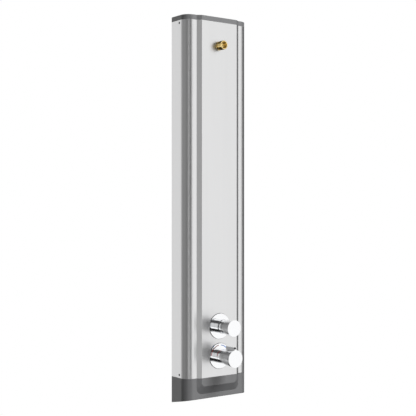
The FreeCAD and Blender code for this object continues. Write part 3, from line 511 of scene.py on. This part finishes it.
def joined(piece, other):
    """Makes the piece one with another closed shape, which is used up."""
    settle(piece)
    modify(piece, "BOOLEAN", operation="UNION", solver="EXACT", object=other)
    one(other)
    bpy.ops.object.delete()


def in_place(piece, node, body, finish):
    """Puts the finished piece in its node's place."""
    piece.data.materials.clear()
    piece.data.materials.append(finish)
    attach(piece, body)
    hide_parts(node)


# ---------------------------------------------------------------- controls
def rosette(node, neck_hole, centre_z, finish):
    """A flat round plate against the panel, with a fine chamfer round its front."""
    rim = rosette_radius
    profile = [
        (neck_hole, 0.0), (rim - 0.4, 0.0), (rim, 0.3), (rim, 0.5), (rim - 0.9, rosette_reach),
        (neck_hole, rosette_reach),
    ]
    piece = turned(node + "_plate", ring(profile), centre_z, steps=large_steps)
    soften(piece)
    in_place(piece, node, "panel", finish)


def push_collar():
    """A ring whose front is coned inwards, with the sleeve that the button slides on."""
    neck_bore = 13.65
    web_rear = 10.3
    web_front = 12.65
    stem_hole = 5.4
    lip = 0.3
    cone_root = 13.6
    sleeve_radius = 14.54
    sleeve_bore = 12.19
    sleeve_reach = 35.5
    profile = [
        (neck_bore, rosette_reach), (collar_radius, rosette_reach), (collar_radius, collar_reach - lip),
        (collar_radius - lip, collar_reach), (sleeve_radius, cone_root), (sleeve_radius, sleeve_reach),
        (sleeve_bore, sleeve_reach), (sleeve_bore, web_front), (stem_hole, web_front),
        (stem_hole, web_rear), (neck_bore, web_rear),
    ]
    piece = turned("push_collar_sleeve", ring(profile), push_z)
    soften(piece, edge_round)
    in_place(piece, "push_collar", "panel", chrome_plate)


def push_button():
    """A hollow head: a ring, a groove, the flare to its front, and a hub for the stem inside."""
    ring_rear = 19.8
    ring_rear_radius = 16.6
    ring_front = 28.0
    ring_front_radius = 17.15
    groove_rear = 28.2
    groove_front = 29.5
    groove_radius = 15.4
    flare_rear = 29.7
    flare_rear_radius = 16.4
    face_reach = 57.0
    face_radius = 19.4
    stem_end = 53.0
    stem_bore = 4.05
    hub_rear = 43.0
    hub_radius = 8.0
    hollow_reach = 49.0
    profile = [
        (head_bore, ring_rear), (ring_rear_radius, ring_rear), (ring_front_radius, ring_front),
        (groove_radius, groove_rear), (groove_radius, groove_front), (flare_rear_radius, flare_rear),
        (face_radius, face_reach), (0.0, face_reach), (0.0, stem_end), (stem_bore, stem_end),
        (stem_bore, hub_rear), (hub_radius, hub_rear), (hub_radius, hollow_reach),
        (head_bore, hollow_reach),
    ]
    piece = turned("push_button_head", ring(profile), push_z)
    soften(piece, fine_round)
    in_place(piece, "push_button", "button", chrome_plate)


def knob_spot(across, reach, height):
    """A place on the knob: millimetres across, out of the panel, and over the knob's middle."""
    return (across * mm, panel_y - reach * mm, knob_z + height * mm)


def fin(name, rear, front, root):
    """The bar on the knob's top between two reaches; its front end slopes down."""
    half_width = 2.6
    top = 26.6
    slope_reach = 57.5
    low = knob_spot(-half_width, front, root)
    high = knob_spot(half_width, rear, min(top, top + slope_reach - rear))
    piece = bar(name, low, high)
    if rear < slope_reach:
        cut(piece, knob_spot(0.0, slope_reach, 0.0), to_wall)
    drop = (front - max(slope_reach, rear)) * mm
    lift_corners(piece, lambda co: co.y < low[1] + near and co.z > high[2] - near, -drop)
    return piece


def nib():
    """The small point at the top of the knob's face."""
    half_width = 4.5
    root = 17.0
    shoulder = 19.89
    rise = 2.71
    low = knob_spot(-half_width, cap_reach, root)
    high = knob_spot(half_width, knob_reach, shoulder)
    piece = bar("nib", low, high)
    cut(piece, knob_spot(0.0, 0.0, 0.0), to_right)
    lift_corners(piece, lambda co: abs(co.x) < near and co.z > high[2] - near, rise * mm)
    return piece


def knob_collar():
    """The plain ring between the rosette and the knob."""
    neck_bore = 14.75
    web_rear = 11.8
    spindle_hole = 7.8
    profile = [
        (neck_bore, rosette_reach), (collar_radius, rosette_reach), (collar_radius, collar_reach),
        (spindle_hole, collar_reach), (spindle_hole, web_rear), (neck_bore, web_rear),
    ]
    piece = turned("knob_collar_ring", ring(profile), knob_z)
    soften(piece, edge_round)
    in_place(piece, "knob_collar", "panel", chrome_plate)


def temperature_knob():
    """A hollow cup with a slight waist, a fin on its top and a hub for the spindle inside."""
    rear = 15.8
    waist = [(17.08, 20.0), (17.3, 25.0), (17.7, 30.0), (18.25, 34.5), (18.8, 38.5)]
    cap_seat = 53.0
    cap_seat_bore = 17.49
    screw_hole = 2.25
    spindle_bore = 4.05
    hub_rear = 30.0
    hub_radius = 7.5
    hollow_reach = 50.0
    fin_rear = 28.0
    fin_root = 17.2
    profile = [
        (head_bore, rear), (collar_radius, rear), *waist, (knob_radius, knob_reach),
        (cap_seat_bore, knob_reach), (cap_seat_bore, cap_seat), (screw_hole, cap_seat),
        (screw_hole, hollow_reach), (spindle_bore, hollow_reach), (spindle_bore, hub_rear),
        (hub_radius, hub_rear), (hub_radius, hollow_reach), (head_bore, hollow_reach),
    ]
    piece = turned("temperature_knob_cup", ring(profile), knob_z, steps=large_steps)
    joined(piece, fin("pointer_bar", fin_rear, knob_reach, fin_root))
    soften(piece, edge_round)
    in_place(piece, "temperature_knob", "knob", chrome_plate)


def knob_cap():
    """The plate that closes the knob's front, with the nib and the fin's front end."""
    rim_bore = 17.4
    fin_root = 18.6
    profile = [
        (0.0, knob_reach), (rim_bore, knob_reach), (knob_radius, knob_reach), (knob_radius, cap_reach),
        (0.0, cap_reach),
    ]
    piece = turned("knob_cap_plate", profile, knob_z, steps=large_steps)
    joined(piece, nib())
    joined(piece, fin("pointer_tip", knob_reach, cap_reach, fin_root))
    soften(piece, fine_round)
    in_place(piece, "knob_cap", "knob", chrome_plate)


def return_spring():
    """The button's spring, given a mesh of its own."""
    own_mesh(nodes["return_spring"])


# ---------------------------------------------------------------- outlet
def nipple_body():
    """The nipple's tail through the panel, its shoulder, and the core under the thread."""
    water_bore = 5.5
    tail_radius = 8.33
    tail_reach = -20.0
    shoulder_reach = 2.2
    core_radius = 9.3
    rim_depth = 0.4
    recess_radius = 8.2
    recess_floor = 8.0
    recess_edge = 0.15
    profile = [
        (water_bore, tail_reach), (tail_radius, tail_reach), (tail_radius, 0.0), (thread_radius, 0.0),
        (thread_radius, shoulder_reach), (core_radius, shoulder_reach),
        (core_radius, nipple_reach - rim_depth), (nipple_rim_radius, nipple_reach),
        (recess_radius + recess_edge, nipple_reach), (recess_radius, nipple_reach - recess_edge),
        (recess_radius, recess_floor), (water_bore, recess_floor),
    ]
    piece = turned("shower_nipple_body", ring(profile), nipple_z)
    soften(piece, finest_round)
    return piece


def nipple_thread():
    """A pipe thread of 14 threads to the inch, chamfered at both ends."""
    first_ridge = 2.4
    turns = 9
    root_radius = 9.32
    rear_reach = 4.2
    # Shares of the pitch, and of the thread's depth, over one ridge
    ridge_shape = ((0.0, 0.0), (0.1, 0.08), (0.4, 0.9), (0.5, 1.0), (0.6, 0.9), (0.9, 0.08), (1.0, 0.0))
    depth = thread_radius - root_radius
    ridge = [
        (root_radius + depth * height, first_ridge + thread_pitch * share)
        for share, height in ridge_shape
    ]
    thread = turned("nipple_thread", ridge, nipple_z, thread_steps, -thread_pitch, turns)
    settle(thread)
    cut(thread, (0.0, panel_y - rear_reach * mm, 0.0), to_wall, clear_outer=True)
    cut(thread, (0.0, panel_y - nipple_reach * mm, 0.0), to_wall, clear_inner=True)
    for vertex in thread.data.vertices:
        reach = (panel_y - vertex.co.y) / mm
        across = Vector((vertex.co.x, 0.0, vertex.co.z - nipple_z))
        rear_chamfer = root_radius + reach - rear_reach
        front_chamfer = nipple_rim_radius + nipple_reach - reach
        most = mm * min(rear_chamfer, front_chamfer, thread_radius)
        if across.length > most:
            across *= most / across.length
            vertex.co.x = across.x
            vertex.co.z = across.z + nipple_z
    soften(thread)
    return thread


def shower_nipple():
    """The outlet: a brass nipple with a real thread."""
    piece = nipple_body()
    thread = nipple_thread()
    one(piece)
    thread.select_set(True)
    bpy.ops.object.join()
    in_place(piece, "shower_nipple", "panel", finishes["brass"])


shower_nipple()
rosette("push_rosette", push_neck_hole, push_z, chrome_plate)
push_collar()
push_button()
rosette("knob_rosette", knob_neck_hole, knob_z, chrome_scale)
knob_collar()
temperature_knob()
knob_cap()
return_spring()


# ---------------------------------------------------------------- studio
white = (1.0, 1.0, 1.0, 1.0)

# How bright the room is round the panel. Each pair holds a turn in degrees and a level:
# 0 is straight out of the wall, and a turn to the user's left is minus.
room_levels = (
    (-180.0, 0.94), (-150.0, 0.94), (-140.0, 0.83), (-126.0, 0.26), (-108.0, 0.18), (-84.0, 0.24),
    (-58.0, 0.13), (-46.0, 0.13), (-36.0, 0.03), (-24.0, 0.01), (0.0, 0.01), (12.0, 1.0), (48.0, 1.0),
    (62.0, 0.12), (105.0, 0.11), (144.0, 0.05), (165.0, 0.10), (180.0, 0.94),
)


def studio_world():
    """White to the camera; to the metal, a room with bright banks and dark between them."""
    darkest = 0.012
    bank_level = 1.06
    window_level = 0.62
    window_ahead = 0.84
    glow_level = 0.07
    low_bank_level = 0.65
    world = bpy.data.worlds.new("studio")
    bpy.context.scene.world = world
    light = Finish(world, "Background", Color=white)
    x, y, z = light.parts(light.node("ShaderNodeTexCoord", output="Generated"))
    ahead = 0.0 - y
    drop = 0.0 - z
    lift = z.absolute()
    turn = x.angle_from(ahead)

    # The banks round the horizon; the one to the right of the front stands higher
    stops = [((degrees + 180.0) / 360.0, (level,) * 3) for degrees, level in room_levels]
    around = light.node("ShaderNodeValToRGB", {"stops": stops}, {"Fac": turn / 360.0 + 0.5})
    front = turn.between((-6.0, 6.0), (52.0, 64.0))
    raised = (z - 0.12).absolute()
    height = (1.0 - lift.ramp(0.42, 0.72)) * (1.0 - front) + (1.0 - raised.ramp(0.50, 0.82)) * front

    # A narrow window on the left, at one angle from straight ahead, for the collars to mirror
    strip = 1.0 - (ahead - window_ahead).absolute().ramp(0.05, 0.065)
    window = strip * (x < 0.0) * (1.0 - lift.ramp(0.38, 0.46))

    # A faint glow on the left that fades downwards, and two banks below the horizon
    glow = glow_level * turn.between((-130.0, -112.0), (-14.0, 4.0)) * z.ramp(-0.3, 0.3)
    left = turn.between((-49.0, -42.0), (8.0, 20.0))
    right = turn.between((108.0, 122.0), (164.0, 176.0))
    below = low_bank_level * drop.between((0.20, 0.28), (0.41, 0.47)) * (left + right)

    shine = darkest + bank_level * around * height + window_level * window + glow + below
    camera_ray = light.camera_ray()
    light.set("Strength", shine * (1.0 - camera_ray) + camera_ray)


def floor():
    """A pale floor well below the hung panel; away from it, it is as white as the backdrop."""
    side = 3.6
    floor_z = -1.6
    under_panel = 0.74
    bpy.ops.object.select_all(action="DESELECT")
    bpy.ops.mesh.primitive_plane_add(size=side, location=(0.0, 0.0, floor_z))
    piece = bpy.context.object
    piece.name = "floor"
    finish = surface("floor_white", Base_Color=(0.8, 0.8, 0.8, 1.0), Roughness=0.9, Specular_IOR_Level=0.0)
    x, y, _ = finish.parts(finish.place())
    away = (x * x + y * y).root().ramp(0.4, 1.7)
    brightness = (under_panel + (1.0 - under_panel) * away) * finish.camera_ray()
    glow = finish.node("ShaderNodeEmission", None, {"Color": white, "Strength": brightness})
    paint = Value(finish, finish.shader.outputs[0])
    both = finish.node("ShaderNodeAddShader", None, {0: paint, 1: glow})
    finish.feed(finish.tree.nodes["Material Output"].inputs["Surface"], both)
    piece.data.materials.append(finish.owner)
    piece.visible_diffuse = False
    piece.visible_glossy = False


def lamp(name, place, size, power):
    """A soft square lamp, aimed at the panel's middle, that the metal doesn't mirror."""
    panel_middle = Vector((0.0, -0.05, 0.0))
    bpy.ops.object.select_all(action="DESELECT")
    bpy.ops.object.light_add(type="AREA", location=place)
    piece = bpy.context.object
    piece.name = name
    piece.data.size = size
    piece.data.energy = power
    piece.rotation_euler = (panel_middle - Vector(place)).to_track_quat("-Z", "Y").to_euler()
    piece.visible_glossy = False
    piece.visible_camera = False


def camera():
    """The photograph's view: level, to the left of the panel's front."""
    place = (-1.33557, -1.83747, -0.00179)
    turn = math.radians(36.3213)
    bpy.ops.object.camera_add(location=place, rotation=(math.pi / 2, 0.0, -turn))
    piece = bpy.context.object
    piece.data.lens = 80.97
    piece.data.sensor_width = 36.0
    piece.data.clip_end = 100.0
    bpy.context.scene.camera = piece


studio_world()
floor()
lamp("key_lamp", (0.77, -3.63, 3.35), size=1.8, power=340.0)
lamp("top_lamp", (0.6, -0.6, 3.0), size=1.5, power=20.0)
camera()
bpy.context.scene.view_settings.view_transform = "Standard"
